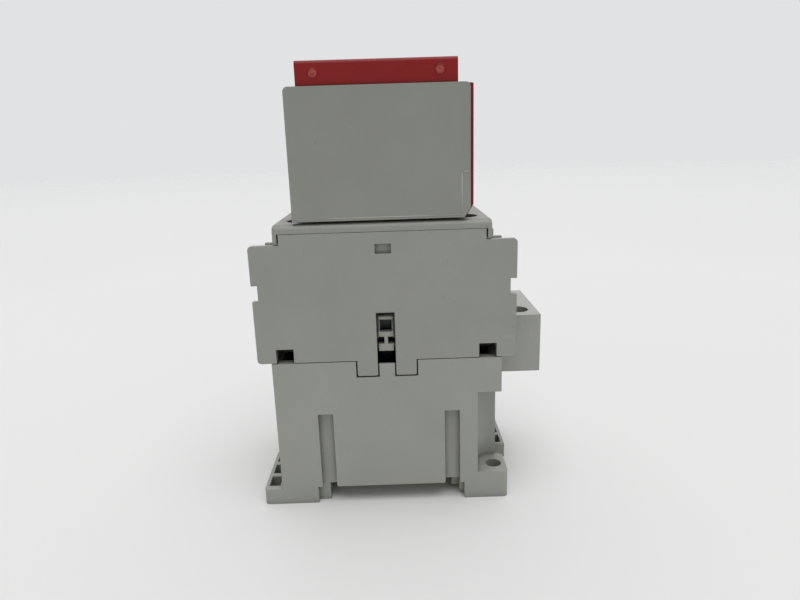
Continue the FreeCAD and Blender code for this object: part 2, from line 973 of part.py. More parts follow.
def side_openings(side):
    """The dimple, the catch niche and the ports in one side, with a room behind each port."""
    out = s.body_y + s.past
    tools = [
        box(
            "dimple",
            about(0, s.dimple_half),
            flip((s.body_y - s.dimple_depth, out), side),
            (s.dimple_low, s.dimple_high),
        ),
        box(
            "niche",
            about(0, s.tab_inner),
            flip((s.niche_back, out), side),
            (s.seam_z - s.past, s.slot_z),
        ),
    ]
    for end in SIDES:
        port_x = flip((s.port_inner, s.port_outer), end)
        port_y = flip((s.body_y - s.wing_wall - s.past, out), side)
        tools.append(box("port", port_x, port_y, (s.seam_z - s.past, s.port_top)))
        room_x = flip((s.port_room_inner, s.port_room_outer), end)
        room_y = flip((s.port_room_y, s.body_y - s.wing_wall), side)
        tools.append(box("port_room", room_x, room_y, (s.seam_z - s.past, s.space_top)))
    window_y = flip((s.carrier_slot_y - s.past, s.niche_back + s.past), side)
    window_z = (s.space_top - s.past, s.niche_window)
    tools.append(box("niche_window", about(0, s.niche_side), window_y, window_z))
    return tools


def contact_housing():
    plates = [side_plate(side) for side in SIDES]
    inner_y = about(0, s.body_y - s.wing_wall)
    blocks = [
        box("housing_block", about(0, s.block_x), inner_y, (s.seam_z, s.top_z)),
        box("housing_ledge", about(0, s.ledge_x), inner_y, (s.seam_z, s.ledge_top)),
    ]
    rooms = [room for row in POLES for room in pole_rooms(row)]
    space_z = (s.seam_z - s.past, s.space_top)
    rooms.append(box("yoke_room", about(0, s.space_x), about(0, s.space_y), space_z))
    hollow = cut("housing_hollow", join("housing_blocks", blocks), rooms)
    solids = plates + [hollow]
    for side in SIDES:
        barrier_y = about(side * s.pole_pitch / 2, s.wing_wall / 2)
        for end in SIDES:
            barrier_x = flip((s.block_x - s.past / 2, s.barrier_x), end)
            barrier_z = (s.barrier_low, s.barrier_top)
            solids.append(box("barrier", barrier_x, barrier_y, barrier_z))
        niche_y = flip((s.niche_wall, s.body_y - s.past), side)
        solids.append(box("niche_wall", about(0, s.niche_x), niche_y, (s.space_top, s.niche_top)))
    tools = [
        box(
            "carrier_slot",
            about(0, s.carrier_slot_x),
            about(0, s.carrier_slot_y),
            (s.seam_z, s.carrier_slot_top),
        )
    ]
    for side in SIDES:
        tools += side_openings(side)
    node("contact_housing", cut("housing_whole", join("housing_solids", solids), tools))


def housing_catch(name, side):
    """A moulded hook that hangs in the side slot and grips the base wall."""
    wide = about(0, s.catch_x)
    head_z = about(s.pivot_z, s.pivot_radius)
    bead_y = s.catch_out - s.bead_radius
    eye_z = (s.bead_z + s.bead_radius, head_z[0] + s.past)

    def slab(label, x, y, z):
        return box("catch_" + label, x, flip(y, side), z)

    def roller(label, y, z, radius):
        spot = (-s.catch_x - s.past, side * y, z)
        return rod("catch_" + label, "x", spot, radius, 2 * (s.catch_x + s.past))

    hollowed = cut(
        "catch_grooved",
        slab("throat", wide, (s.catch_in, s.catch_out), (s.bead_z, head_z[0])),
        [
            roller("groove", s.catch_out, s.groove_z, s.groove_radius),
            slab("eye", about(0, s.catch_eye), (s.catch_in - s.past, s.catch_out), eye_z),
        ],
    )
    ends = [
        common(
            "catch_end",
            roller("round", y, z, radius),
            slab("length", wide, (s.catch_in, s.catch_out), (z - radius, z + radius)),
        )
        for y, z, radius in (
            (s.pivot_y, s.pivot_z, s.pivot_radius),
            (bead_y, s.bead_z, s.bead_radius),
        )
    ]
    solids = ends + [
        hollowed,
        slab("head", wide, (s.catch_in, s.pivot_y), head_z),
        slab("bead", wide, (s.catch_in, bead_y), about(s.bead_z, s.bead_radius)),
        slab("stem", about(0, s.catch_stem), (s.catch_in, s.catch_out), (s.catch_low, s.bead_z)),
        slab("foot", wide, (s.catch_in, s.catch_out), (s.catch_low, s.catch_pocket)),
        slab("neck", wide, (s.leg_in, s.pivot_y), (s.web_low, s.web_top)),
        slab("web", about(0, s.leg_far), (s.leg_in, s.leg_out), (s.web_low, s.web_top)),
    ]
    for end in SIDES:
        leg_x = flip((s.leg_near, s.leg_far), end)
        solids.append(slab("leg", leg_x, (s.leg_in, s.leg_out), (s.leg_low, s.web_top)))
        solids.append(slab("nub", leg_x, (s.leg_in, s.nub_out), (s.leg_low, s.nub_high)))
    node(name, join(name + "_whole", solids))


def front_cover():
    """The plate over the terminals, with legs that clip over the housing's ends."""
    half = [
        (s.wing_step, s.cover_leg),
        (s.cover_x, s.cover_leg),
        (s.cover_x, s.cover_top),
    ]
    inner = [(s.wing_step, s.cover_low)]
    points = inner + half + [(-x, z) for x, z in reversed(half)] + [(-x, z) for x, z in inner]
    plate = padded("cover_plate", points, 2 * s.body_y)

    def on_top(direction):
        return lambda edge: runs(edge, direction) and at_height(edge, s.cover_top)

    dress(plate, "Fillet", "Radius", s.cover_round, on_top("x"))
    dress(plate, "Fillet", "Radius", s.cover_end, on_top("y"))
    deep = (s.cover_low - s.past, s.cover_top + s.past)
    tools = [box("slider_window", about(0, s.cover_window), about(0, s.cover_window), deep)]
    for side in SIDES:
        clip_x = flip((s.clip_inner - s.gap, s.clip_lip + s.gap), side)
        tools.append(box("clip_slot", clip_x, about(0, s.clip_half + s.gap), deep))
        for row in POLES:
            spot = (side * s.screw_x, pole_y(row), deep[0])
            tools.append(rod("screw_hole", "z", spot, s.screw_hole, deep[1] - deep[0]))
    node("front_cover", cut("cover", plate, tools))


# --------------------------------------------------------------- magnet, coil


def core_outline(back, start, tips):
    """An E: a back between two heights and three legs that reach to tips."""
    half = [
        (s.core_x, back),
        (s.core_x, tips),
        (s.leg_inner, tips),
        (s.leg_inner, start),
        (s.centre_leg, start),
        (s.centre_leg, tips),
    ]
    return half + [(-x, z) for x, z in reversed(half)]


def magnet():
    core = padded("core", core_outline(s.core_low, s.core_back, s.core_top), 2 * s.core_y)
    grooves = []
    rings = []
    for side in SIDES:
        band = (s.ring_inner, s.ring_inner + s.ring_band)
        groove_x = flip((band[0] - s.slim_gap, band[1] + s.slim_gap), side)
        groove_z = (s.ring_low - s.slim_gap, s.core_top + s.past)
        grooves.append(box("ring_groove", groove_x, about(0, s.core_y + s.past), groove_z))
        ring_z = (s.ring_low, s.ring_high)
        ring_x = flip((s.ring_inner, s.ring_outer), side)
        outer = box("ring_outer", ring_x, about(0, s.ring_side), ring_z)
        hole_x = flip((band[1], s.core_x + s.slim_gap), side)
        hole = box("ring_hole", hole_x, about(0, s.core_y + s.slim_gap), ring_z)
        rings.append(cut("ring", outer, [hole]))
    node("magnet_core", cut("core_grooved", core, grooves))
    node("shading_rings", group("rings", rings))
    pads = []
    for side in SIDES:
        pad_x = flip((s.pad_inner, s.pad_outer), side)
        pads.append(box("pad", pad_x, about(0, s.core_y), (s.floor_z, s.pad_top)))
    node("core_pads", group("pads", pads))


def armature():
    """The moving E, held to the carrier by a cross pin."""
    tips = s.core_top + s.travel + s.slim_gap
    arm = padded("arm", core_outline(s.arm_top, s.arm_back, tips), 2 * s.core_y)
    spot = (0, -s.pin_half, s.pin_z)
    hole = rod("arm_hole", "y", spot, s.pin_radius + s.slim_gap, 2 * s.pin_half)
    node("armature", cut("arm_bored", arm, [hole]))
    pin = rod("pin", "y", spot, s.pin_radius, 2 * s.pin_half)
    node("armature_pin", pin)


def bobbin_tube(name, outer_x, outer_y, z):
    """A rectangular sleeve or flange around the coil's window."""
    outer = box(name + "_outer", about(0, outer_x), about(0, outer_y), z)
    hole_x = about(0, s.bobbin_hole_x)
    hole_y = about(0, s.bobbin_hole_y)
    hole_z = (z[0] - s.past, z[1] + s.past)
    return cut(name, outer, [box(name + "_hole", hole_x, hole_y, hole_z)])


def coil():
    tube_x = s.bobbin_hole_x + s.bobbin_wall
    tube_y = s.bobbin_hole_y + s.bobbin_wall
    low = (s.bobbin_low, s.bobbin_low + s.bobbin_flange)
    high = (s.bobbin_high - s.bobbin_flange, s.bobbin_high)
    solids = [
        bobbin_tube("bobbin_tube", tube_x, tube_y, (s.bobbin_low, s.bobbin_high)),
        bobbin_tube("bobbin_low", s.bobbin_x, s.bobbin_y, low),
        bobbin_tube("bobbin_high", s.bobbin_x, s.bobbin_y, high),
    ]
    for side in SIDES:
        post_y = flip((s.lead_y, s.lead_y + s.lead_width), side)
        post_z = (s.bobbin_high - s.slim_gap, s.lead_low - s.slim_gap)
        solids.append(box("lead_post", (s.lead_start, s.bobbin_x), post_y, post_z))
    node("coil_bobbin", join("bobbin", solids))
    wound_z = (low[1] + s.slim_gap, high[0] - s.slim_gap)
    wound = box("wound", about(0, s.winding_x), about(0, s.winding_y), wound_z)
    inner_x = about(0, tube_x + s.slim_gap)
    inner_y = about(0, tube_y + s.slim_gap)
    inner = box("wound_hole", inner_x, inner_y, wound_z)
    node("coil_winding", cut("winding", wound, [inner]))


def coil_terminal_block():
    solids = [
        box("coil_block", (s.coil_in, s.coil_out), about(0, s.coil_y), (s.coil_low, s.coil_high)),
        box(
            "coil_arm",
            (s.coil_arm_in, s.coil_in + s.past),
            about(0, s.coil_arm_y),
            (s.coil_arm_low, s.coil_arm_high),
        ),
    ]
    tools = []
    strips = []
    for side in SIDES:
        middle = side * s.coil_screw_y
        room_y = about(middle, s.coil_room_half)
        room_z = (s.coil_room_low, s.coil_room_high)
        entry_x = (s.coil_room_out - s.past, s.coil_out + s.past)
        entry_z = (s.coil_entry_low, s.coil_strip_low)
        lead_y = flip((s.lead_y, s.lead_y + s.lead_width), side)
        slack_y = (lead_y[0] - s.slim_gap, lead_y[1] + s.slim_gap)
        slack_z = (s.lead_low - s.slim_gap, s.lead_high + s.slim_gap)
        riser_x = (s.lead_end - s.strip_thick, s.lead_end)
        slack_x = (riser_x[0] - s.slim_gap, riser_x[1] + s.slim_gap)
        rise_z = (s.lead_low - s.slim_gap, s.coil_room_low + s.past)
        hole_at = (s.coil_screw_x, middle, s.coil_room_high - s.past)
        tools += [
            box("coil_room", (s.coil_room_in, s.coil_room_out), room_y, room_z),
            box("coil_entry", entry_x, about(middle, s.coil_entry_half), entry_z),
            box("lead_tunnel", (s.coil_arm_in - s.past, slack_x[1]), slack_y, slack_z),
            box("riser_slot", slack_x, slack_y, rise_z),
            rod("coil_hole", "z", hole_at, s.coil_hole, s.coil_high - hole_at[2] + s.past),
        ]
        top_y = flip((s.coil_screw_y - s.coil_strip_half, s.coil_screw_y + s.coil_strip_half), side)
        bend_y = flip((s.coil_screw_y - s.coil_strip_half, s.lead_y + s.lead_width), side)
        bend_z = (s.coil_room_low + s.past, s.coil_strip_high)
        top_z = (s.coil_strip_low, s.coil_strip_high)
        pieces = [
            box("lead_run", (s.lead_start, s.lead_end), lead_y, (s.lead_low, s.lead_high)),
            box("lead_riser", riser_x, lead_y, (s.lead_low, s.coil_strip_high)),
            box("lead_bend", riser_x, bend_y, bend_z),
            box("lead_top", (riser_x[0], s.coil_strip_end), top_y, top_z),
        ]
        strips.append(join("lead", pieces))
    node("coil_terminal_block", cut("coil_case", join("coil_solids", solids), tools))
    node("coil_terminals", group("leads", strips))


# ------------------------------------------------------------ carrier, bridges


def contact_carrier():
    """The moulded carrier: a yoke over the armature and a bar through the poles."""
    bar_x = about(0, s.bar_x)
    solids = [
        box("yoke", about(0, s.yoke_x), about(0, s.yoke_y), (s.yoke_low, s.yoke_high)),
        box("bar", bar_x, about(0, s.bar_y), (s.yoke_high - s.gap, s.bar_top)),
        box("column", about(0, s.column), about(0, s.column), (s.bar_top - s.gap, s.column_top)),
    ]
    tools = []
    for side in SIDES:
        lug_y = flip((s.lug_inner, s.yoke_y), side)
        solids.append(box("lug", about(0, s.lug_x), lug_y, (s.lug_low, s.yoke_low + s.gap)))
    spot = (0, -s.pin_half - s.past, s.pin_z)
    length = 2 * (s.pin_half + s.past)
    tools.append(rod("lug_hole", "y", spot, s.pin_radius + s.slim_gap, length))
    for row in POLES:
        window_y = about(pole_y(row), s.window_half)
        window_z = (s.bridge_low - s.slim_gap, s.window_top)
        tools.append(box("bridge_window", about(0, s.bar_x + s.past), window_y, window_z))
    node("contact_carrier", cut("carrier", join("carrier_solids", solids), tools))
    springs = []
    for side in SIDES:
        spot = (side * s.return_x, 0, s.spring_foot + s.slim_gap)
        length = s.yoke_low - s.spring_foot - 2 * s.slim_gap
        pitch = 2 * s.spring_pitch
        spring = coil_spring("return", "z", spot, s.return_coil, s.return_wire, length, pitch)
        springs.append(spring)
    node("return_springs", group("returns", springs))


def contact_bridges():
    """One sprung bridge per pole, each with a silver tip under both ends."""
    tips = []
    springs = []
    for number, row in enumerate(POLES, start=1):
        y = about(pole_y(row), s.bridge_y)
        bar = box(f"bar_{number}", about(0, s.bridge_x), y, (s.bridge_low, s.bridge_high))
        node(f"contact_bridge_{number}", bar)
        for side in SIDES:
            tip_x = flip((s.tip_inner, s.tip_outer), side)
            tip_z = (s.bridge_low - s.tip_height, s.bridge_low)
            tips.append(box("bridge_tip", tip_x, y, tip_z))
        spot = (0, pole_y(row), s.bridge_high + s.slim_gap)
        length = s.window_top - s.bridge_high - 2 * s.slim_gap
        coil, wire = s.contact_coil, s.contact_wire
        springs.append(coil_spring("press", "z", spot, coil, wire, length, s.spring_pitch))
    node("bridge_tips", group("tips", tips))
    node("contact_springs", group("presses", springs))


def strip_outline(start, low, step, high, end, thick, side):
    """A stepped conductor: a low inner run, a riser and a high outer run."""
    points = [
        (start, low),
        (step + thick, low),
        (step + thick, high),
        (end, high),
        (end, high + thick),
        (step, high + thick),
        (step, low + thick),
        (start, low + thick),
    ]
    return [(side * x, z) for x, z in points]


def main_strips():
    tips = []
    for side, name in ((1, "line_contacts"), (-1, "load_contacts")):
        strips = []
        for row in POLES:
            inner = (s.strip_inner, s.strip_low, s.strip_step)
            points = strip_outline(*inner, s.strip_high, s.strip_end, s.strip_thick, side)
            strips.append(padded("strip", points, 2 * s.strip_half, pole_y(row)))
            tip_x = flip((s.tip_inner, s.tip_outer), side)
            tip_z = (s.strip_low + s.strip_thick, s.fixed_tip_top)
            tips.append(box("fixed_tip", tip_x, about(pole_y(row), s.fixed_tip_half), tip_z))
        node(name, group(name + "_set", strips))
    node("fixed_tips", group("fixed_set", tips))


def arc_splitters():
    plates = []
    for row in POLES:
        for side in SIDES:
            for level in THREE:
                low = s.plate_low + level * s.plate_pitch
                plate_x = flip((s.plate_inner, s.plate_outer), side)
                plate_y = about(pole_y(row), s.plate_half)
                plates.append(box("splitter", plate_x, plate_y, (low, low + s.plate_thick)))
    node("arc_splitters", group("splitters", plates))


# ------------------------------------------------------------- screw terminals


def clamp_screw(name, place, tip, radius, head_radius, head):
    """A turned screw with a cheese head and a cross recess."""
    x, y = place
    shank = rod(name + "_shank", "z", (x, y, tip), radius, head[0] - tip + s.gap)
    top = rod(name + "_head", "z", (x, y, head[0]), head_radius, head[1] - head[0])
    slit_z = (head[1] - s.slit_depth, head[1] + s.past)
    reach = head_radius * s.slit_reach
    slits = [
        box(name + "_slit", about(x, reach), about(y, s.slit_half), slit_z),
        box(name + "_slit", about(x, s.slit_half), about(y, reach), slit_z),
    ]
    return cut(name + "_cut", join(name + "_body", [shank, top]), slits)


def clamp_cage(name, place, half_x, half_y, levels, hole):
    """A rising cage: a square steel loop whose roof is bored for the screw."""
    x, y = place
    low, floor, roof, top = levels
    block = box(name + "_block", about(x, half_x), about(y, half_y), (low, top))
    mouth_x = about(x, half_x + s.past)
    mouth = box(name + "_mouth", mouth_x, about(y, half_y - s.cage_wall), (floor, roof))
    bore = rod(name + "_bore", "z", (x, y, roof - s.past), hole, top - roof + 2 * s.past)
    return cut(name + "_cut", block, [mouth, bore])


def main_terminals():
    number = 0
    tip = s.strip_high + s.strip_thick + s.slim_gap
    levels = (s.cage_low, s.cage_floor, s.cage_roof, s.cage_top)
    for side in SIDES:
        for row in POLES:
            number += 1
            place = (side * s.screw_x, pole_y(row))
            head = (s.head_low, s.head_high)
            name = f"terminal_screw_{number}"
            screw = clamp_screw(name, place, tip, s.screw_radius, s.head_radius, head)
            node(name, screw)
            name = f"terminal_cage_{number}"
            bore = s.screw_radius + s.slim_gap
            node(name, clamp_cage(name, place, s.cage_x, s.cage_y, levels, bore))


def coil_clamps():
    tip = s.coil_strip_high + s.slim_gap
    levels = (s.coil_cage_low, s.coil_cage_floor, s.coil_cage_roof, s.coil_cage_top)
    head = (s.coil_head_low, s.coil_head_high)
    for number, side in enumerate(SIDES, start=1):
        place = (s.coil_screw_x, side * s.coil_screw_y)
        name = f"coil_screw_{number}"
        radius = s.coil_screw_radius
        node(name, clamp_screw(name, place, tip, radius, s.coil_head_radius, head))
        name = f"coil_cage_{number}"
        bore = radius + s.slim_gap
        node(name, clamp_cage(name, place, s.coil_cage_x, s.coil_cage_y, levels, bore))


# -------------------------------------------------------------- auxiliary block


def aux_housing():
    points = [
        (-s.aux_left, s.aux_low),
        (s.aux_right - s.plate_chamfer, s.aux_low),
        (s.aux_right, s.aux_low + s.plate_chamfer_z),
        (s.aux_right, s.aux_high),
        (-s.aux_left, s.aux_high),
    ]
    shell = padded("aux_block", points, 2 * s.aux_y)
    room_z = (s.aux_floor, s.aux_high + s.past)
    room = box("aux_room", about(0, s.aux_room_x), about(0, s.aux_room_y), room_z)
    foot = s.slider_foot + 4 * s.gap
    floor_z = (s.aux_low - s.past, s.aux_floor + s.past)
    slot = box("aux_slot", about(0, foot), about(0, foot), floor_z)
    tools = [room, slot]
    for side, end in ((1, s.aux_right), (-1, s.aux_left)):
        entry_x = flip((s.aux_room_x - s.past, end + s.past), side)
        mouth_x = flip((end - s.mouth, end + s.past), side)
        mouth_z = (s.aux_entry_low - s.mouth, s.aux_entry_high + s.mouth)
        for row in AUX_ROWS:
            middle = row * s.aux_pitch
            entry_z = (s.aux_entry_low, s.aux_entry_high)
            tools.append(box("aux_entry", entry_x, about(middle, s.aux_entry_half), entry_z))
            mouth_y = about(middle, s.aux_entry_half + s.mouth)
            tools.append(box("aux_mouth", mouth_x, mouth_y, mouth_z))
    solids = [cut("aux_shell", shell, tools)]
    for side in SIDES:
        rib_x = flip((s.aux_slot, s.aux_room_x + s.gap), side)
        rib_z = (s.aux_floor - s.gap, s.aux_rib_top)
        for row in POLES:
            solids.append(box("aux_rib", rib_x, about(row * s.aux_pitch, s.aux_rib), rib_z))
        arm_x = flip((s.clip_inner, s.clip_outer), side)
        arm_z = (s.clip_low, s.aux_low + s.gap)
        solids.append(box("clip_arm", arm_x, about(0, s.clip_half), arm_z))
        lip_x = flip((s.clip_inner, s.clip_lip + 2 * s.gap), side)
        lip_z = (s.clip_low, s.cover_low - s.slim_gap)
        solids.append(box("clip_lip", lip_x, about(0, s.clip_half), lip_z))
    node("aux_housing", join("aux_whole", solids))


def aux_side_plates():
    """Flat side plates with one bevelled lower corner."""
    points = [
        (-s.plate_left, s.plate_bottom),
        (s.plate_right - s.plate_chamfer, s.plate_bottom),
        (s.plate_right, s.plate_bottom + s.plate_chamfer_z),
        (s.plate_right, s.plate_top),
        (-s.plate_left, s.plate_top),
    ]
    spots = [(s.plate_right, s.plate_top), (-s.plate_left, s.plate_top)]
    thick = s.plate_out - s.aux_y - s.slim_gap
    for side, name in ((-1, "aux_side_plate_near"), (1, "aux_side_plate_far")):
        plate = padded("side_plate", points, thick, side * (s.plate_out - thick / 2))
        dress(plate, "Fillet", "Radius", s.plate_round, corner_at(spots))
        node(name, plate)


def aux_cap():
    """The front cap: hollow, rounded on top, with screw holes and a flag window."""
    points = [
        (-s.cap_x, s.cap_low),
        (s.cap_x, s.cap_low),
        (s.cap_x, s.cap_high),
        (-s.cap_x, s.cap_high),
    ]
    block = padded("cap_block", points, 2 * s.cap_y)

    def long_top_edge(edge):
        return runs(edge, "x") and at_height(edge, s.cap_high)

    dress(block, "Fillet", "Radius", s.cap_round, long_top_edge)
    inner_x = about(0, s.cap_x - s.cap_wall)
    inner_y = about(0, s.cap_y - s.cap_wall)
    inner = box("cap_room", inner_x, inner_y, (s.cap_low - s.past, s.cap_high - s.cap_wall))
    solids = [cut("cap_shell", block, [inner])]
    tools = []
    deep = (s.cap_low - s.past, s.cap_high + s.past)
    for side in SIDES:
        for end in SIDES:
            limits = flip((s.cap_y - s.cap_wall, s.cap_y + s.stake_proud), side)
            spot = (end * s.stake_x, limits[0], s.stake_z)
            length = limits[1] - limits[0]
            solids.append(rod("stake", "y", spot, s.stake_radius, length))
        for row in AUX_ROWS:
            spot = (side * s.aux_screw_x, row * s.aux_pitch, deep[0])
            tools.append(rod("cap_hole", "z", spot, s.aux_hole, deep[1] - deep[0]))
    window_x = about(0, s.aux_window_x)
    tools.append(box("flag_window", window_x, about(0, s.aux_window_y), deep))
    label_z = (s.cap_high - s.label_depth, s.cap_high + s.past)
    label_y = (s.label_near, s.label_far)
    tools.append(box("label_seat", about(0, s.label_x), label_y, label_z))
    node("aux_cap", cut("cap", join("cap_solids", solids), tools))
    insert_x = about(0, s.label_x - s.gap)
    insert_y = (s.label_near + s.gap, s.label_far - s.gap)
    insert_z = (s.cap_high - s.label_depth, s.cap_high - s.gap)
    node("aux_label", box("label", insert_x, insert_y, insert_z))


def aux_slider():
    """The slider that carries the auxiliary bridges, with a position flag on top."""
    slider_x = about(0, s.slider_x)
    foot_z = (s.slider_start, s.slider_low + s.gap)
    flag_z = (s.slider_high - s.gap, s.flag_top)
    solids = [
        box("slider_foot", about(0, s.slider_foot), about(0, s.slider_foot), foot_z),
        box("slider_bar", slider_x, about(0, s.slider_y), (s.slider_low, s.slider_high)),
        box("slider_flag", about(0, s.flag_x), about(0, s.flag_y), flag_z),
    ]
    make_z = (s.make_low - s.slim_gap, s.make_window_top)
    break_z = (s.break_window_low, s.break_low + s.aux_bridge_thick + s.slim_gap)
    tools = []
    for row in AUX_ROWS:
        window_z = make_z if abs(row) > 1 else break_z
        window_y = about(row * s.aux_pitch, s.aux_window_half)
        tools.append(box("slider_window", about(0, s.slider_x + s.past), window_y, window_z))
    node("aux_slider", cut("slider", join("slider_solids", solids), tools))


def aux_bridge(name, row, low, tip_z):
    """A flat bridge with two tips on the side where it meets the fixed contacts."""
    y = about(row * s.aux_pitch, s.aux_bridge_y)
    pieces = [box(name, about(0, s.aux_bridge_x), y, (low, low + s.aux_bridge_thick))]
    for side in SIDES:
        pieces.append(box("aux_tip", flip((s.aux_tip_inner, s.aux_tip_outer), side), y, tip_z))
    return join(name + "_whole", pieces)


def aux_spring(row, low, high):
    spot = (0, row * s.aux_pitch, low + s.slim_gap)
    length = high - low - 2 * s.slim_gap
    return coil_spring("aux_press", "z", spot, s.aux_coil, s.aux_wire, length, s.aux_spring_pitch)


def aux_contacts():
    make_row, break_row = AUX_ROWS[3], AUX_ROWS[2]
    makes = []
    breaks = []
    make_springs = []
    break_springs = []
    break_top = s.break_low + s.aux_bridge_thick
    for side in SIDES:
        row = side * make_row
        tip_z = (s.make_low - s.aux_tip, s.make_low)
        makes.append(aux_bridge("make_bridge", row, s.make_low, tip_z))
        make_top = s.make_low + s.aux_bridge_thick
        make_springs.append(aux_spring(row, make_top, s.make_window_top))
        row = side * break_row
        tip_z = (break_top, break_top + s.aux_tip)
        breaks.append(aux_bridge("break_bridge", row, s.break_low, tip_z))
        break_springs.append(aux_spring(row, s.break_window_low, s.break_low))
    node("aux_bridges_make", group("make_set", makes))
    node("aux_bridges_break", group("break_set", breaks))
    node("aux_springs_make", group("make_springs", make_springs))
    node("aux_springs_break", group("break_springs", break_springs))


def aux_terminals():
    strips = []
    screws = []
    cages = []
    tip = s.aux_strip_high + s.aux_strip_thick + s.slim_gap
    levels = (s.aux_cage_low, s.aux_cage_floor, s.aux_cage_roof, s.aux_cage_top)
    head = (s.aux_head_low, s.aux_head_high)
    for side in SIDES:
        for row in AUX_ROWS:
            low = s.make_strip if abs(row) > 1 else s.break_strip
            y = row * s.aux_pitch
            inner = (s.aux_strip_start, low, s.aux_strip_step)
            outer = (s.aux_strip_high, s.aux_strip_end, s.aux_strip_thick)
            points = strip_outline(*inner, *outer, side)
            strips.append(padded("aux_strip", points, 2 * s.aux_strip_half, y))
            place = (side * s.aux_screw_x, y)
            radius = s.aux_screw_radius
            screws.append(clamp_screw("aux_screw", place, tip, radius, s.aux_head_radius, head))
            bore = radius + s.slim_gap
            cages.append(clamp_cage("aux_cage", place, s.aux_cage_x, s.aux_cage_y, levels, bore))
    node("aux_terminals", group("aux_strips", strips))
    node("aux_screws", group("aux_screw_set", screws))
    node("aux_cages", group("aux_cage_set", cages))


def build():
    make_sheet()
    base_housing()
    rail_latch()
    contact_housing()
    housing_catch("housing_catch_near", -1)
    housing_catch("housing_catch_far", 1)
    front_cover()
    magnet()
    armature()
    coil()
    coil_terminal_block()
    coil_clamps()
    contact_carrier()
    contact_bridges()
    main_strips()
    arc_splitters()
    main_terminals()
    aux_housing()
    aux_side_plates()
    aux_cap()
    aux_slider()
    aux_contacts()
    aux_terminals()
    doc.recompute()


def check():
    """Stops on any failed feature and any sub-part that is empty or not valid."""
    for item in doc.Objects:
        if "Invalid" in item.State or "Error" in item.State:
            raise RuntimeError(f"{item.Name} ({item.Label}) failed: {item.State}")
    for item in NODES:
        if item.Shape.isNull() or not item.Shape.isValid() or not item.Shape.Solids:
            raise RuntimeError(f"{item.Label} is not a valid solid")


def write():
    os.makedirs("parts", exist_ok=True)
    for item in NODES:
        item.Shape.exportStep(f"parts/{item.Label}.step")


build()
check()
write()
print(len(NODES), "sub-parts written")
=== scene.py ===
import json
import math

import bmesh
import bpy
from mathutils import Matrix, Vector

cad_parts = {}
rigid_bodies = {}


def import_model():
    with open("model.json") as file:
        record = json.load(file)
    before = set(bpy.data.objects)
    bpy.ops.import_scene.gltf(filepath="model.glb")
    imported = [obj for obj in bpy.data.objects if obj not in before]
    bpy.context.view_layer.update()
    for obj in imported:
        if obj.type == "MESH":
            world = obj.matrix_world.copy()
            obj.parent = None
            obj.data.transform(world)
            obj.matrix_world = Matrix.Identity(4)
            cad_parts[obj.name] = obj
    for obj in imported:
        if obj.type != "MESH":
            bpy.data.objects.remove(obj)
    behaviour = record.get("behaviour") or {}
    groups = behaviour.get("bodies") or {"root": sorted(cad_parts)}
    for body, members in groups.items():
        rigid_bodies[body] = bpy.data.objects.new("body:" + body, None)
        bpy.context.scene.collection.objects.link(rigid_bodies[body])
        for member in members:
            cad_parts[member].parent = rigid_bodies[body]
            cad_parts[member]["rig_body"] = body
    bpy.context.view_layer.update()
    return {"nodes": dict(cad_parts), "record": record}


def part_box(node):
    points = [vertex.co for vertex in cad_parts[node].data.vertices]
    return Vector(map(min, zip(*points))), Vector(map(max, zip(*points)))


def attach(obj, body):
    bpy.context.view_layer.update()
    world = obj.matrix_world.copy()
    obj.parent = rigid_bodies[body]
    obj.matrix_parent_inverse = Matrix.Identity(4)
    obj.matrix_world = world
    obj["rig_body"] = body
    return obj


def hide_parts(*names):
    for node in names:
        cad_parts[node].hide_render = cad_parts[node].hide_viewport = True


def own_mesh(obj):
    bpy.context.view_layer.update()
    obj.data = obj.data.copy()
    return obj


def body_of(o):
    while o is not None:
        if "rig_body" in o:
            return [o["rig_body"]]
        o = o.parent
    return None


# The looks of a small safety contactor: moulded grey shells, a red auxiliary block, plated screws.
# Everything is in metres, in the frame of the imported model.

MM = 0.001
WAVE_STEP = 20.0            # radians per metre of a Blender wave texture at a scale of 1
SHEET_THICKNESS = 0.5 * MM
WIRE_THICKNESS = 0.22 * MM

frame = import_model()
scene = bpy.context.scene
nodes = frame["nodes"]


# ---------------------------------------------------------------- shader helpers


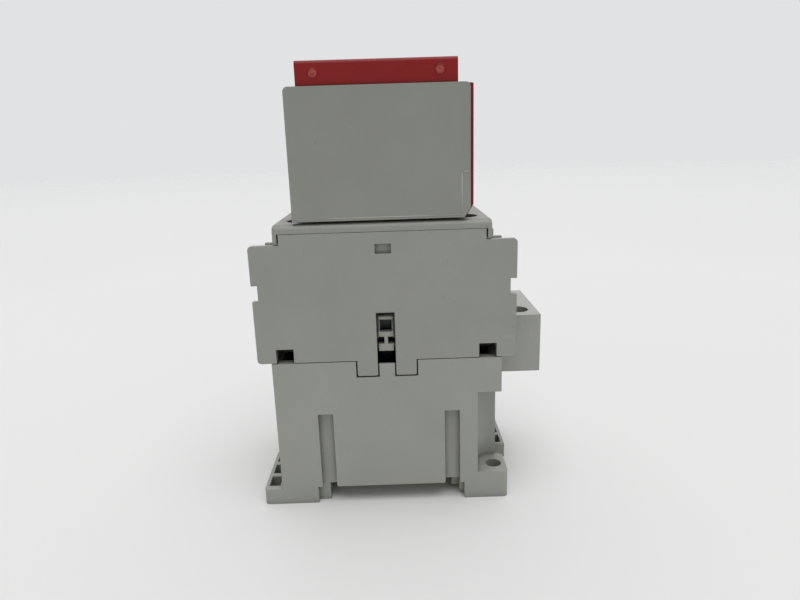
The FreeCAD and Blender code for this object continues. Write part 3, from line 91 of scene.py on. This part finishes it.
class Shader:
    """A material under construction, with short calls for the nodes used here."""

    def __init__(self, name):
        self.material = bpy.data.materials.new(name)
        self.material.use_nodes = True
        self.tree = self.material.node_tree
        self.tree.nodes.clear()
        self.output = self.tree.nodes.new("ShaderNodeOutputMaterial")
        self.surface = self.add("ShaderNodeBsdfPrincipled")
        self.link(self.surface.outputs[0], self.output.inputs["Surface"])
        self.place = self.add("ShaderNodeTexCoord").outputs["Object"]

    def add(self, kind, **settings):
        node = self.tree.nodes.new(kind)
        for name, value in settings.items():
            setattr(node, name, value)
        return node

    def link(self, source, target):
        self.tree.links.new(source, target)

    def feed(self, target, value):
        """Links a socket, or sets a plain value."""
        if isinstance(value, bpy.types.NodeSocket):
            self.link(value, target)
        else:
            target.default_value = value

    def noise(self, size, detail=2.0, roughness=0.5, stretch=(1, 1, 1), place=None):
        """Smooth noise whose features are about size metres across."""
        mapping = self.add("ShaderNodeMapping")
        self.link(place or self.place, mapping.inputs["Vector"])
        mapping.inputs["Scale"].default_value = [1 / (size * side) for side in stretch]
        noise = self.add("ShaderNodeTexNoise")
        noise.inputs["Scale"].default_value = 1.0
        noise.inputs["Detail"].default_value = detail
        noise.inputs["Roughness"].default_value = roughness
        self.link(mapping.outputs[0], noise.inputs["Vector"])
        return noise.outputs["Fac"]

    def bands(self, direction, profile, width, distortion):
        """Straight bands, each width metres across, that follow one another along an axis."""
        wave = self.add(
            "ShaderNodeTexWave", wave_type="BANDS", bands_direction=direction, wave_profile=profile
        )
        self.link(self.place, wave.inputs["Vector"])
        wave.inputs["Scale"].default_value = 2 * math.pi / (WAVE_STEP * width)
        wave.inputs["Distortion"].default_value = distortion
        return wave.outputs["Fac"]

    def ramp(self, value, low, high, start=0.0, end=1.0):
        """Maps value from low..high to start..end, held at both ends."""
        node = self.add("ShaderNodeMapRange", clamp=True)
        self.feed(node.inputs["Value"], value)
        node.inputs["From Min"].default_value = low
        node.inputs["From Max"].default_value = high
        node.inputs["To Min"].default_value = start
        node.inputs["To Max"].default_value = end
        return node.outputs[0]

    def math(self, operation, one, other=0.0):
        node = self.add("ShaderNodeMath", operation=operation)
        self.feed(node.inputs[0], one)
        self.feed(node.inputs[1], other)
        return node.outputs[0]

    def mix(self, factor, one, other):
        node = self.add("ShaderNodeMix", data_type="RGBA")
        self.feed(node.inputs["Factor"], factor)
        self.feed(node.inputs[6], one)
        self.feed(node.inputs[7], other)
        return node.outputs[2]

    def axis(self, name):
        node = self.add("ShaderNodeSeparateXYZ")
        self.link(self.place, node.inputs[0])
        return node.outputs["XYZ".index(name)]

    def disc(self, x, z, radius):
        """A blotchy round spot seen along Y, 1 inside and 0 outside."""
        across = self.math("SUBTRACT", self.axis("X"), x)
        up = self.math("SUBTRACT", self.axis("Z"), z)
        across = self.math("MULTIPLY", across, across)
        up = self.math("MULTIPLY", up, up)
        distance = self.math("SQRT", self.math("ADD", across, up))
        spot = self.ramp(distance, 0.75 * radius, radius, 1.0, 0.0)
        return self.math("MULTIPLY", spot, self.ramp(self.noise(0.6 * MM, detail=2), 0.35, 0.55, 0.25, 1.0))

    def bump(self, height, distance, strength=1.0, under=None):
        node = self.add("ShaderNodeBump")
        node.inputs["Strength"].default_value = strength
        node.inputs["Distance"].default_value = distance
        self.link(height, node.inputs["Height"])
        if under is not None:
            self.link(under, node.inputs["Normal"])
        return node.outputs[0]

    def edge(self, radius, reach=0.12):
        """1 along sharp outer and inner edges, 0 on flat faces."""
        dot = self.add("ShaderNodeVectorMath", operation="DOT_PRODUCT")
        self.link(self.rounded(radius), dot.inputs[0])
        self.link(self.add("ShaderNodeNewGeometry").outputs["Normal"], dot.inputs[1])
        return self.ramp(dot.outputs["Value"], 1.0, 1.0 - reach)

    def rounded(self, radius):
        """The normal of the surface with its edges rounded off."""
        bevel = self.add("ShaderNodeBevel", samples=4)
        bevel.inputs["Radius"].default_value = radius
        return bevel.outputs[0]

    def hollow(self, reach):
        """1 deep in seams, holes and corners, 0 in the open."""
        node = self.add("ShaderNodeAmbientOcclusion", samples=4)
        node.inputs["Distance"].default_value = reach
        return self.ramp(node.outputs["AO"], 0.30, 0.92, 1.0, 0.0)

    def finish(self, color, roughness, normal=None, metallic=0.0, **more):
        self.feed(self.surface.inputs["Base Color"], color)
        self.feed(self.surface.inputs["Roughness"], roughness)
        self.surface.inputs["Metallic"].default_value = metallic
        if normal is not None:
            self.link(normal, self.surface.inputs["Normal"])
        for name, value in more.items():
            self.feed(self.surface.inputs[name.replace("_", " ")], value)
        return self.material


def scaled(color, factor):
    """The colour made brighter or darker, as red, green and blue."""
    return [min(1.0, part * factor) for part in color]


def tone(color, factor=1.0):
    """The scaled colour as an RGBA list."""
    return scaled(color, factor) + [1.0]


# --------------------------------------------------------------------- materials

GREY = (0.335, 0.343, 0.309)
RED = (0.285, 0.0115, 0.0120)
# how far the painted shade reaches in seams and in recesses, and how dark the recess shade is
SEAM_REACH, RECESS_REACH, RECESS_SHADE = 1.5 * MM, 6 * MM, 0.35


def moulded(name, color, roughness=0.38, grain=0.22 * MM, edge_wear_and_highlight=1.3, shine=0.55, stakes=()):
    """Spark-textured thermoplastic: cloudy colour, fine grain, specks, worn edges lightened partly as a
    painted highlight, and painted shade in the seams and recesses.
    """
    m = Shader(name)
    # the resin: clouds, flow streaks, grain and a few specks
    cloud = m.noise(14 * MM, detail=3)
    flow = m.noise(5 * MM, detail=2, stretch=(1, 1, 6))
    fine = m.noise(grain, detail=2, roughness=0.6)
    shade = m.mix(m.ramp(cloud, 0.3, 0.7), tone(color, 0.955), tone(color, 1.04))
    shade = m.mix(m.ramp(flow, 0.35, 0.75, 0.0, 0.35), shade, tone(color, 1.05))
    shade = m.mix(m.ramp(fine, 0.35, 0.65, 0.0, 0.32), shade, tone(color, 0.84))
    speck = m.ramp(m.noise(1.1 * MM, detail=1), 0.735, 0.76)
    thin = m.ramp(m.noise(9 * MM, detail=1), 0.45, 0.6)
    shade = m.mix(m.math("MULTIPLY", m.math("MULTIPLY", speck, thin), 0.22), shade, tone(color, 0.45))
    # use and light: scuffs in patches, worn edges lightened partly as a painted highlight, dust and painted
    # shade in the seams, painted shade in the recesses
    scuff = m.ramp(m.noise(2.2 * MM, detail=4, roughness=0.7, stretch=(6, 1, 1)), 0.64, 0.74)
    patch = m.ramp(m.noise(17 * MM, detail=1), 0.52, 0.66)
    scuff = m.math("MULTIPLY", scuff, patch)
    shade = m.mix(m.math("MULTIPLY", scuff, 0.30), shade, tone(color, 1.35))
    # worn edges: smoother, and lighter partly as a painted highlight along the edges
    worn_edges_and_highlight = m.math("MULTIPLY", m.edge(0.3 * MM), m.ramp(m.noise(3 * MM, detail=3), 0.35, 0.7))
    shade = m.mix(m.math("MULTIPLY", worn_edges_and_highlight, 0.45), shade, tone(color, edge_wear_and_highlight))
    # dust and painted shade together in seams, holes and corners, patchy
    dust = m.ramp(m.noise(1.5 * MM, detail=3), 0.25, 0.6, 0.55, 0.85)
    shade = m.mix(m.math("MULTIPLY", m.hollow(SEAM_REACH), dust), shade, tone(color, 0.42))
    # painted shade deep in the recesses
    shade = m.mix(m.math("MULTIPLY", m.hollow(RECESS_REACH), RECESS_SHADE), shade, tone(color, 0.5))
    for x, z in stakes:
        shade = m.mix(m.math("MULTIPLY", m.disc(x, z, STAKE_RADIUS), 0.42), shade, STAKE_PINK)
    # the surface: uneven sheen, rounded edges and spark texture
    rough = m.ramp(m.noise(7 * MM, detail=3), 0.3, 0.7, roughness - 0.05, roughness + 0.07)
    rough = m.math("SUBTRACT", rough, m.math("MULTIPLY", worn_edges_and_highlight, 0.10))
    slow = m.bump(cloud, 0.25 * MM, 0.12, m.rounded(0.25 * MM))
    normal = m.bump(fine, 0.02 * MM, 0.65, slow)
    return m.finish(shade, rough, normal, Specular_IOR_Level=shine)


def plated(name, color=(0.55, 0.56, 0.55), tint=(0.60, 0.55, 0.42)):
    """Zinc-plated, passivated steel: brushed, faintly iridescent, dull in patches, with painted highlights
    along the edges.
    """
    m = Shader(name)
    brush = m.noise(0.12 * MM, detail=3, stretch=(1, 1, 14))
    cloud = m.noise(2.5 * MM, detail=3)
    shade = m.mix(m.ramp(cloud, 0.35, 0.7), tone(color, 0.9), tone(tint))
    shade = m.mix(m.ramp(brush, 0.4, 0.7, 0.0, 0.4), shade, tone(color, 1.15))
    # painted highlight: the edges made brighter
    shade = m.mix(m.math("MULTIPLY", m.edge(0.15 * MM), 0.5), shade, tone(color, 1.5))
    rough = m.ramp(cloud, 0.3, 0.7, 0.26, 0.42)
    return m.finish(shade, rough, m.bump(brush, 0.01 * MM, 0.5), metallic=1.0)


def copper(name, color=(0.62, 0.33, 0.20)):
    """Rolled copper strip, dulled in patches by handling."""
    m = Shader(name)
    roll = m.noise(0.1 * MM, detail=3, stretch=(18, 1, 1))
    cloud = m.noise(3 * MM, detail=4)
    shade = m.mix(m.ramp(cloud, 0.3, 0.75), tone(color, 1.1), tone((0.30, 0.14, 0.08)))
    rough = m.ramp(cloud, 0.3, 0.7, 0.22, 0.45)
    return m.finish(shade, rough, m.bump(roll, 0.01 * MM, 0.4), metallic=1.0)


def silver(name):
    """Silver contact alloy: satin, with faint dark arcing marks."""
    m = Shader(name)
    cloud = m.noise(0.7 * MM, detail=4)
    shade = m.mix(m.ramp(cloud, 0.5, 0.75), tone((0.78, 0.77, 0.74)), tone((0.25, 0.24, 0.23)))
    rough = m.ramp(cloud, 0.3, 0.8, 0.25, 0.5)
    return m.finish(shade, rough, m.bump(cloud, 0.02 * MM, 0.4), metallic=1.0)


def laminated(name):
    """Stacked magnet steel: thin sheets side by side and a trace of rust."""
    m = Shader(name)
    wave = m.bands("Y", "SAW", SHEET_THICKNESS, 0.15)
    cloud = m.noise(2 * MM, detail=4)
    sheet = m.ramp(wave, 0.0, 0.18)
    shade = m.mix(sheet, tone((0.06, 0.055, 0.05)), tone((0.33, 0.33, 0.33)))
    shade = m.mix(m.ramp(cloud, 0.62, 0.8, 0.0, 0.5), shade, tone((0.16, 0.08, 0.04)))
    rough = m.ramp(cloud, 0.3, 0.7, 0.32, 0.5)
    return m.finish(shade, rough, m.bump(sheet, 0.03 * MM, 0.6), metallic=0.9)


def enamelled(name):
    """Enamelled winding wire laid turn beside turn."""
    m = Shader(name)
    wave = m.bands("Z", "SIN", WIRE_THICKNESS, 0.4)
    cloud = m.noise(2.5 * MM, detail=2)
    shade = m.mix(m.ramp(cloud, 0.3, 0.7), tone((0.36, 0.10, 0.030)), tone((0.50, 0.17, 0.05)))
    shade = m.mix(m.ramp(wave, 0.0, 0.35, 0.7, 0.0), shade, tone((0.08, 0.02, 0.01)))
    normal = m.bump(wave, 0.1 * MM, 0.9)
    return m.finish(shade, m.ramp(cloud, 0.3, 0.7, 0.18, 0.3), normal, metallic=0.5, Coat_Weight=0.6)


def rubber(name):
    m = Shader(name)
    fine = m.noise(0.3 * MM, detail=3)
    dust = m.ramp(m.noise(2 * MM, detail=4), 0.5, 0.75, 0.0, 0.35)
    shade = m.mix(dust, tone((0.018, 0.018, 0.018)), tone((0.12, 0.115, 0.105)))
    return m.finish(shade, m.ramp(fine, 0.3, 0.7, 0.72, 0.88), m.bump(fine, 0.03 * MM, 0.6))


def writing_label(name):
    """A blank matt insert with handling marks."""
    m = Shader(name)
    cloud = m.noise(4 * MM, detail=4)
    fine = m.noise(0.15 * MM, detail=2)
    shade = m.mix(m.ramp(cloud, 0.45, 0.75, 0.0, 0.6), tone((0.70, 0.70, 0.67)), tone((0.60, 0.59, 0.54)))
    return m.finish(shade, m.ramp(cloud, 0.3, 0.7, 0.45, 0.6), m.bump(fine, 0.01 * MM, 0.4))


STAKE_RADIUS = 1.1 * MM
STAKE_PINK = (0.62, 0.21, 0.15, 1.0)
STAKES = [(x * MM, 117 * MM) for x in (-15.5, 15.5)]

MATERIALS = {
    "housing_grey": moulded("housing_grey", scaled(GREY, 1.02)),
    "cover_grey": moulded("cover_grey", scaled(GREY, 0.97)),
    "catch_grey": moulded("catch_grey", (0.37, 0.375, 0.315), roughness=0.36),
    "signal_red": moulded("signal_red", RED, roughness=0.40, grain=0.3 * MM, edge_wear_and_highlight=1.5, shine=0.35),
    "carrier_dark": moulded("carrier_dark", (0.020, 0.020, 0.022), roughness=0.45, edge_wear_and_highlight=2.5),
    "bobbin_natural": moulded("bobbin_natural", (0.56, 0.53, 0.42), roughness=0.38),
    "zinc_steel": plated("zinc_steel"),
    "magnet_steel": laminated("magnet_steel"),
    "spring_steel": plated("spring_steel", (0.45, 0.45, 0.46), (0.42, 0.40, 0.36)),
    "copper_strip": copper("copper_strip"),
    "silver_tip": silver("silver_tip"),
    "winding_enamel": enamelled("winding_enamel"),
    "pad_rubber": rubber("pad_rubber"),
    "label_white": writing_label("label_white"),
}


# Mouldings with a finish apart from their slot: the base painted lighter and the side plates painted
# darker, as painted light and shade for light that falls brighter low down; the coil block lighter and
# glossier; the cap with its melted stakes.
FINISH_AND_PAINTED_LIGHT = {
    "aux_cap": moulded("cap_red", RED, roughness=0.40, grain=0.3 * MM, edge_wear_and_highlight=1.5, shine=0.35, stakes=STAKES),
    "base_housing": moulded("base_grey_painted_light", scaled(GREY, 1.1)),
    "coil_terminal_block": moulded("coil_grey", scaled(GREY, 1.05), roughness=0.22, shine=1.0),
    "aux_side_plate_near": moulded("plate_grey_painted_shade", scaled(GREY, 0.92)),
}
FINISH_AND_PAINTED_LIGHT["aux_side_plate_far"] = FINISH_AND_PAINTED_LIGHT["aux_side_plate_near"]


def dress_cad_nodes():
    """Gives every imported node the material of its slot."""
    for part in frame["record"]["subparts"]:
        piece = nodes[part["node"]]
        piece.data.materials.clear()
        material = MATERIALS[part["material_slot"]]
        piece.data.materials.append(FINISH_AND_PAINTED_LIGHT.get(part["node"], material))


EDGE_ROUND = {
    "base_housing": 0.25,
    "contact_housing": 0.22,
    "front_cover": 0.25,
    "coil_terminal_block": 0.35,
    "housing_catch_near": 0.15,
    "housing_catch_far": 0.15,
    "rail_latch": 0.2,
    "aux_housing": 0.3,
    "aux_side_plate_near": 0.2,
    "aux_side_plate_far": 0.2,
    "aux_cap": 0.25,
    "aux_label": 0.1,
}


WELD_REACH = 0.002 * MM
SHARP_ANGLE = math.radians(30)
FLAT_WEIGHT = 80            # how far the large faces set the shading


def soften_edges():
    """Rounds the sharp edges of the moulded shells, as a mould does."""
    for name, width in EDGE_ROUND.items():
        piece = nodes[name]
        weld = piece.modifiers.new("weld", "WELD")
        weld.merge_threshold = WELD_REACH
        bevel = piece.modifiers.new("bevel", "BEVEL")
        bevel.width = width * MM
        bevel.segments = 3
        bevel.limit_method = "ANGLE"
        bevel.angle_limit = SHARP_ANGLE
        bevel.use_clamp_overlap = True
        smooth = piece.modifiers.new("normals", "WEIGHTED_NORMAL")
        smooth.keep_sharp = False
        smooth.weight = FLAT_WEIGHT


# ----------------------------------------------------------------------- springs

# The joint that loads each spring, the spring's axis, and whether its high end is the seated one.
SPRINGS = {
    "return_springs": ("carrier_slide", "Z", False),
    "contact_springs": ("main_bridges_slide", "Z", True),
    "aux_springs_make": ("aux_make_bridges_slide", "Z", True),
    "rail_latch_spring": ("rail_latch_slide", "X", False),
}


def squeeze_springs():
    """Copies of the spring coils, fixed to each spring's body in place of the imported node; they keep
    their length.
    """
    for name, (joint, axis, high_seat) in SPRINGS.items():
        coils = bpy.data.objects.new(name + "_coils", nodes[name].data.copy())
        scene.collection.objects.link(coils)
        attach(coils, body_of(nodes[name])[0])
        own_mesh(coils)
        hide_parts(name)


# --------------------------------------------------------------- moulding lines

LINE_WIDTH, LINE_HEIGHT = 0.24 * MM, 0.15 * MM
LINE_INSET = 2.2 * MM       # from the plate's bevelled edge
LINE_RISE = 11.6 * MM       # above the plate's foot
FOOT_LINE = 0.75 * MM
ARC_STEPS = 6
# a much lighter grey for the ridges: painted highlight for the light caught on their tops
LINE_HIGHLIGHT_GREY = moulded("line_grey_painted_highlight", scaled(GREY, 1.9))


def ridge(shape, start, end, outward):
    """Adds a fine half-round ridge between two points on a flat face."""
    along = (end - start).normalized()
    across = along.cross(outward)
    arc = [math.pi * step / ARC_STEPS for step in range(ARC_STEPS + 1)]
    profile = [across * math.cos(a) * LINE_WIDTH / 2 + outward * math.sin(a) * LINE_HEIGHT for a in arc]
    profile = [point - outward * LINE_HEIGHT / 4 for point in profile]
    rings = [[shape.verts.new(spot + point) for point in profile] for spot in (start, end)]
    count = len(profile)
    for step in range(count):
        follow = (step + 1) % count
        face = (rings[0][step], rings[0][follow], rings[1][follow], rings[1][step])
        shape.faces.new(face).smooth = step < count - 1
    shape.faces.new(reversed(rings[0]))
    shape.faces.new(rings[1])


def moulding_lines(node, side):
    """The witness lines of the mould on a side plate: around the bevelled corner and along the foot, in a
    painted-highlight grey.
    """
    low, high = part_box(node)
    face = high.y if side > 0 else low.y
    corner = Vector((high.x - LINE_INSET, face, low.z + FOOT_LINE))
    top = Vector((corner.x, face, low.z + LINE_RISE))
    outward = Vector((0, side, 0))
    shape = bmesh.new()
    ridge(shape, Vector((low.x + FOOT_LINE, face, corner.z)), corner, outward)
    ridge(shape, corner, top, outward)
    ridge(shape, top, Vector((high.x - LINE_WIDTH, face, top.z)), outward)
    bmesh.ops.recalc_face_normals(shape, faces=shape.faces)
    mesh = bpy.data.meshes.new(node + "_lines")
    shape.to_mesh(mesh)
    shape.free()
    lines = bpy.data.objects.new(node + "_lines", mesh)
    scene.collection.objects.link(lines)
    mesh.materials.append(LINE_HIGHLIGHT_GREY)
    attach(lines, "housing")


# ----------------------------------------------------------- stage, light, camera

FLOOR_RADIUS, FLOOR_CORNERS = 4.0, 64
FADE_NEAR, FADE_FAR = 0.35, 2.5
ROOM_LOW, ROOM_HIGH, ROOM_BACK = 0.26, 0.62, 0.52
BACKDROP = (0.757, 0.762, 0.770, 1.0)
KEY_POWER, KEY_SPREAD = 1.15, 50.0
KEY_AIM = (-0.10, 0.22, -1.0)


def stage():
    """A wide pale floor that fades into the backdrop."""
    ring = [2 * math.pi * step / FLOOR_CORNERS for step in range(FLOOR_CORNERS)]
    mesh = bpy.data.meshes.new("floor")
    vertices = [(FLOOR_RADIUS * math.cos(angle), FLOOR_RADIUS * math.sin(angle), 0) for angle in ring]
    mesh.from_pydata(vertices, [], [list(range(FLOOR_CORNERS))])
    floor = bpy.data.objects.new("floor", mesh)
    scene.collection.objects.link(floor)
    m = Shader("paper")
    shade = m.mix(m.noise(0.3, detail=2), tone((0.835, 0.835, 0.835)), tone((0.865, 0.865, 0.865)))
    distance = m.add("ShaderNodeVectorMath", operation="LENGTH")
    m.link(m.place, distance.inputs[0])
    cover = m.ramp(distance.outputs["Value"], FADE_NEAR, FADE_FAR, 1.0, 0.0)
    mesh.materials.append(m.finish(shade, 0.6, Specular_IOR_Level=0.2, Alpha=cover))


def room_light():
    """A room that is brighter overhead and behind, and plain pale to the camera."""
    world = bpy.data.worlds.new("room")
    world.use_nodes = True
    tree = world.node_tree

    def add(kind, **settings):
        node = tree.nodes.new(kind)
        for name, value in settings.items():
            setattr(node, name, value)
        return node

    split = add("ShaderNodeSeparateXYZ")
    tree.links.new(add("ShaderNodeTexCoord").outputs["Generated"], split.inputs[0])
    overhead = add("ShaderNodeMapRange")
    overhead.inputs["To Min"].default_value = ROOM_LOW
    overhead.inputs["To Max"].default_value = ROOM_HIGH
    tree.links.new(split.outputs["Z"], overhead.inputs["Value"])
    behind = add("ShaderNodeMapRange")
    behind.inputs["To Max"].default_value = ROOM_BACK
    tree.links.new(split.outputs["Y"], behind.inputs["Value"])
    total = add("ShaderNodeMath", operation="ADD")
    tree.links.new(overhead.outputs[0], total.inputs[0])
    tree.links.new(behind.outputs[0], total.inputs[1])
    light = tree.nodes["Background"]
    light.inputs["Color"].default_value = (1.0, 1.0, 1.0, 1)
    tree.links.new(total.outputs[0], light.inputs["Strength"])
    backdrop = add("ShaderNodeBackground")
    backdrop.inputs["Color"].default_value = BACKDROP
    choice = add("ShaderNodeMixShader")
    tree.links.new(add("ShaderNodeLightPath").outputs["Is Camera Ray"], choice.inputs[0])
    tree.links.new(light.outputs[0], choice.inputs[1])
    tree.links.new(backdrop.outputs[0], choice.inputs[2])
    tree.links.new(choice.outputs[0], tree.nodes["World Output"].inputs["Surface"])
    scene.world = world


def lights():
    """A broad soft key from above and in front, in an evenly lit room."""
    data = bpy.data.lights.new("key", "SUN")
    data.energy = KEY_POWER
    data.angle = math.radians(KEY_SPREAD)
    key = bpy.data.objects.new("key", data)
    key.rotation_mode = "QUATERNION"
    key.rotation_quaternion = Vector(KEY_AIM).to_track_quat("-Z", "Y")
    scene.collection.objects.link(key)
    room_light()


CAMERA_PLACE = Vector((3.04, -178.19, 100.55)) * MM
CAMERA_YAW = math.radians(0.374)
CAMERA_PITCH = math.radians(14.688)
CAMERA_ROLL = math.radians(1.769)
CAMERA_LENS = 27.37


def camera():
    forward = Vector(
        (
            math.sin(CAMERA_YAW) * math.cos(CAMERA_PITCH),
            math.cos(CAMERA_YAW) * math.cos(CAMERA_PITCH),
            -math.sin(CAMERA_PITCH),
        )
    )
    level = Vector((math.cos(CAMERA_YAW), -math.sin(CAMERA_YAW), 0))
    down = forward.cross(level)
    right = level * math.cos(CAMERA_ROLL) + down * math.sin(CAMERA_ROLL)
    up = level * math.sin(CAMERA_ROLL) - down * math.cos(CAMERA_ROLL)
    data = bpy.data.cameras.new("camera")
    data.lens = CAMERA_LENS
    data.clip_start, data.clip_end = 0.01, 2 * FLOOR_RADIUS
    eye = bpy.data.objects.new("camera", data)
    turn = Matrix((right, up, -forward)).transposed().to_4x4()
    eye.matrix_world = Matrix.Translation(CAMERA_PLACE) @ turn
    scene.collection.objects.link(eye)
    scene.camera = eye


dress_cad_nodes()
soften_edges()
squeeze_springs()
moulding_lines("aux_side_plate_near", -1)
moulding_lines("aux_side_plate_far", 1)
stage()
lights()
camera()
scene.view_settings.view_transform = "Standard"
